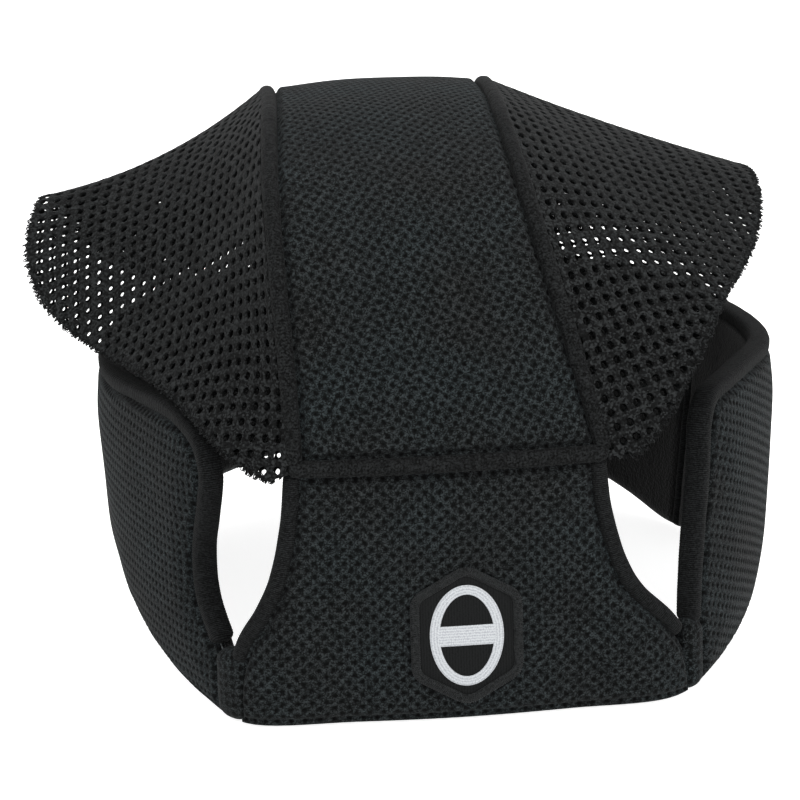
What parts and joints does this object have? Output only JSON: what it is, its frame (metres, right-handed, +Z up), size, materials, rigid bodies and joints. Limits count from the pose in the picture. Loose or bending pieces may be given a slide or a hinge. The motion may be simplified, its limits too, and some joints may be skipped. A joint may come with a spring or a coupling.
{
  "type": "helmet comfort liner",
  "caption": "Soft removable headgear liner: padded head ring, padded crown strip with piped edges, a flared open-mesh wing on each side, strap gaps and a six-sided badge.",
  "frame": {"origin": "middle of the liner's box, on the plane of its lower edge", "axes": "+Z up towards the crown, -Y towards the wearer's nape (the badge side), +Y towards the forehead, +X to the right seen from the nape"},
  "size_m": [0.1804, 0.1846, 0.1285],
  "materials": {
    "knit": "charcoal warp knit with small staggered dimples",
    "foam": "open-cell polyurethane foam, hidden inside the pads",
    "pile": "black brushed pile lining",
    "tape": "ribbed black binding tape",
    "piping": "knit-covered piping cord",
    "mesh": "black open spacer mesh with round holes and raw cut edges",
    "badge_twill": "woven badge ground",
    "badge_thread": "merrowed thread border",
    "badge_print": "white woven ring"
  },
  "bodies": {
    "root": {"crown_cover": "knit", "crown_foam": "foam", "crown_lining": "pile", "nape_cover": "knit", "nape_foam": "foam", "nape_lining": "pile", "forehead_cover": "knit", "forehead_foam": "foam", "forehead_lining": "pile", "band_left_cover": "knit", "band_left_foam": "foam", "band_left_lining": "pile", "band_right_cover": "knit", "band_right_foam": "foam", "band_right_lining": "pile", "nape_binding_left": "tape", "band_binding_left": "tape", "corner_tape_left": "tape", "temple_tape_left": "tape", "crown_piping_left": "piping", "nape_binding_right": "tape", "band_binding_right": "tape", "corner_tape_right": "tape", "temple_tape_right": "tape", "crown_piping_right": "piping", "nape_seam_piping": "piping", "forehead_seam_piping": "piping", "badge_patch": "badge_twill", "badge_border": "badge_thread", "badge_emblem": "badge_print"},
    "wing_left": {"wing_left": "mesh"},
    "wing_right": {"wing_right": "mesh"}
  },
  "joints": [
    {"name": "wing_left_lift", "type": "hinge", "parent": "root", "child": "wing_left", "pos_m": [-0.0355, 0, 0.1275], "axis": [0, 1, 0], "range_deg": [0, 15]},
    {"name": "wing_right_lift", "type": "hinge", "parent": "root", "child": "wing_right", "pos_m": [0.0245, 0, 0.1275], "axis": [0, -1, 0], "range_deg": [0, 15]}
  ]
}
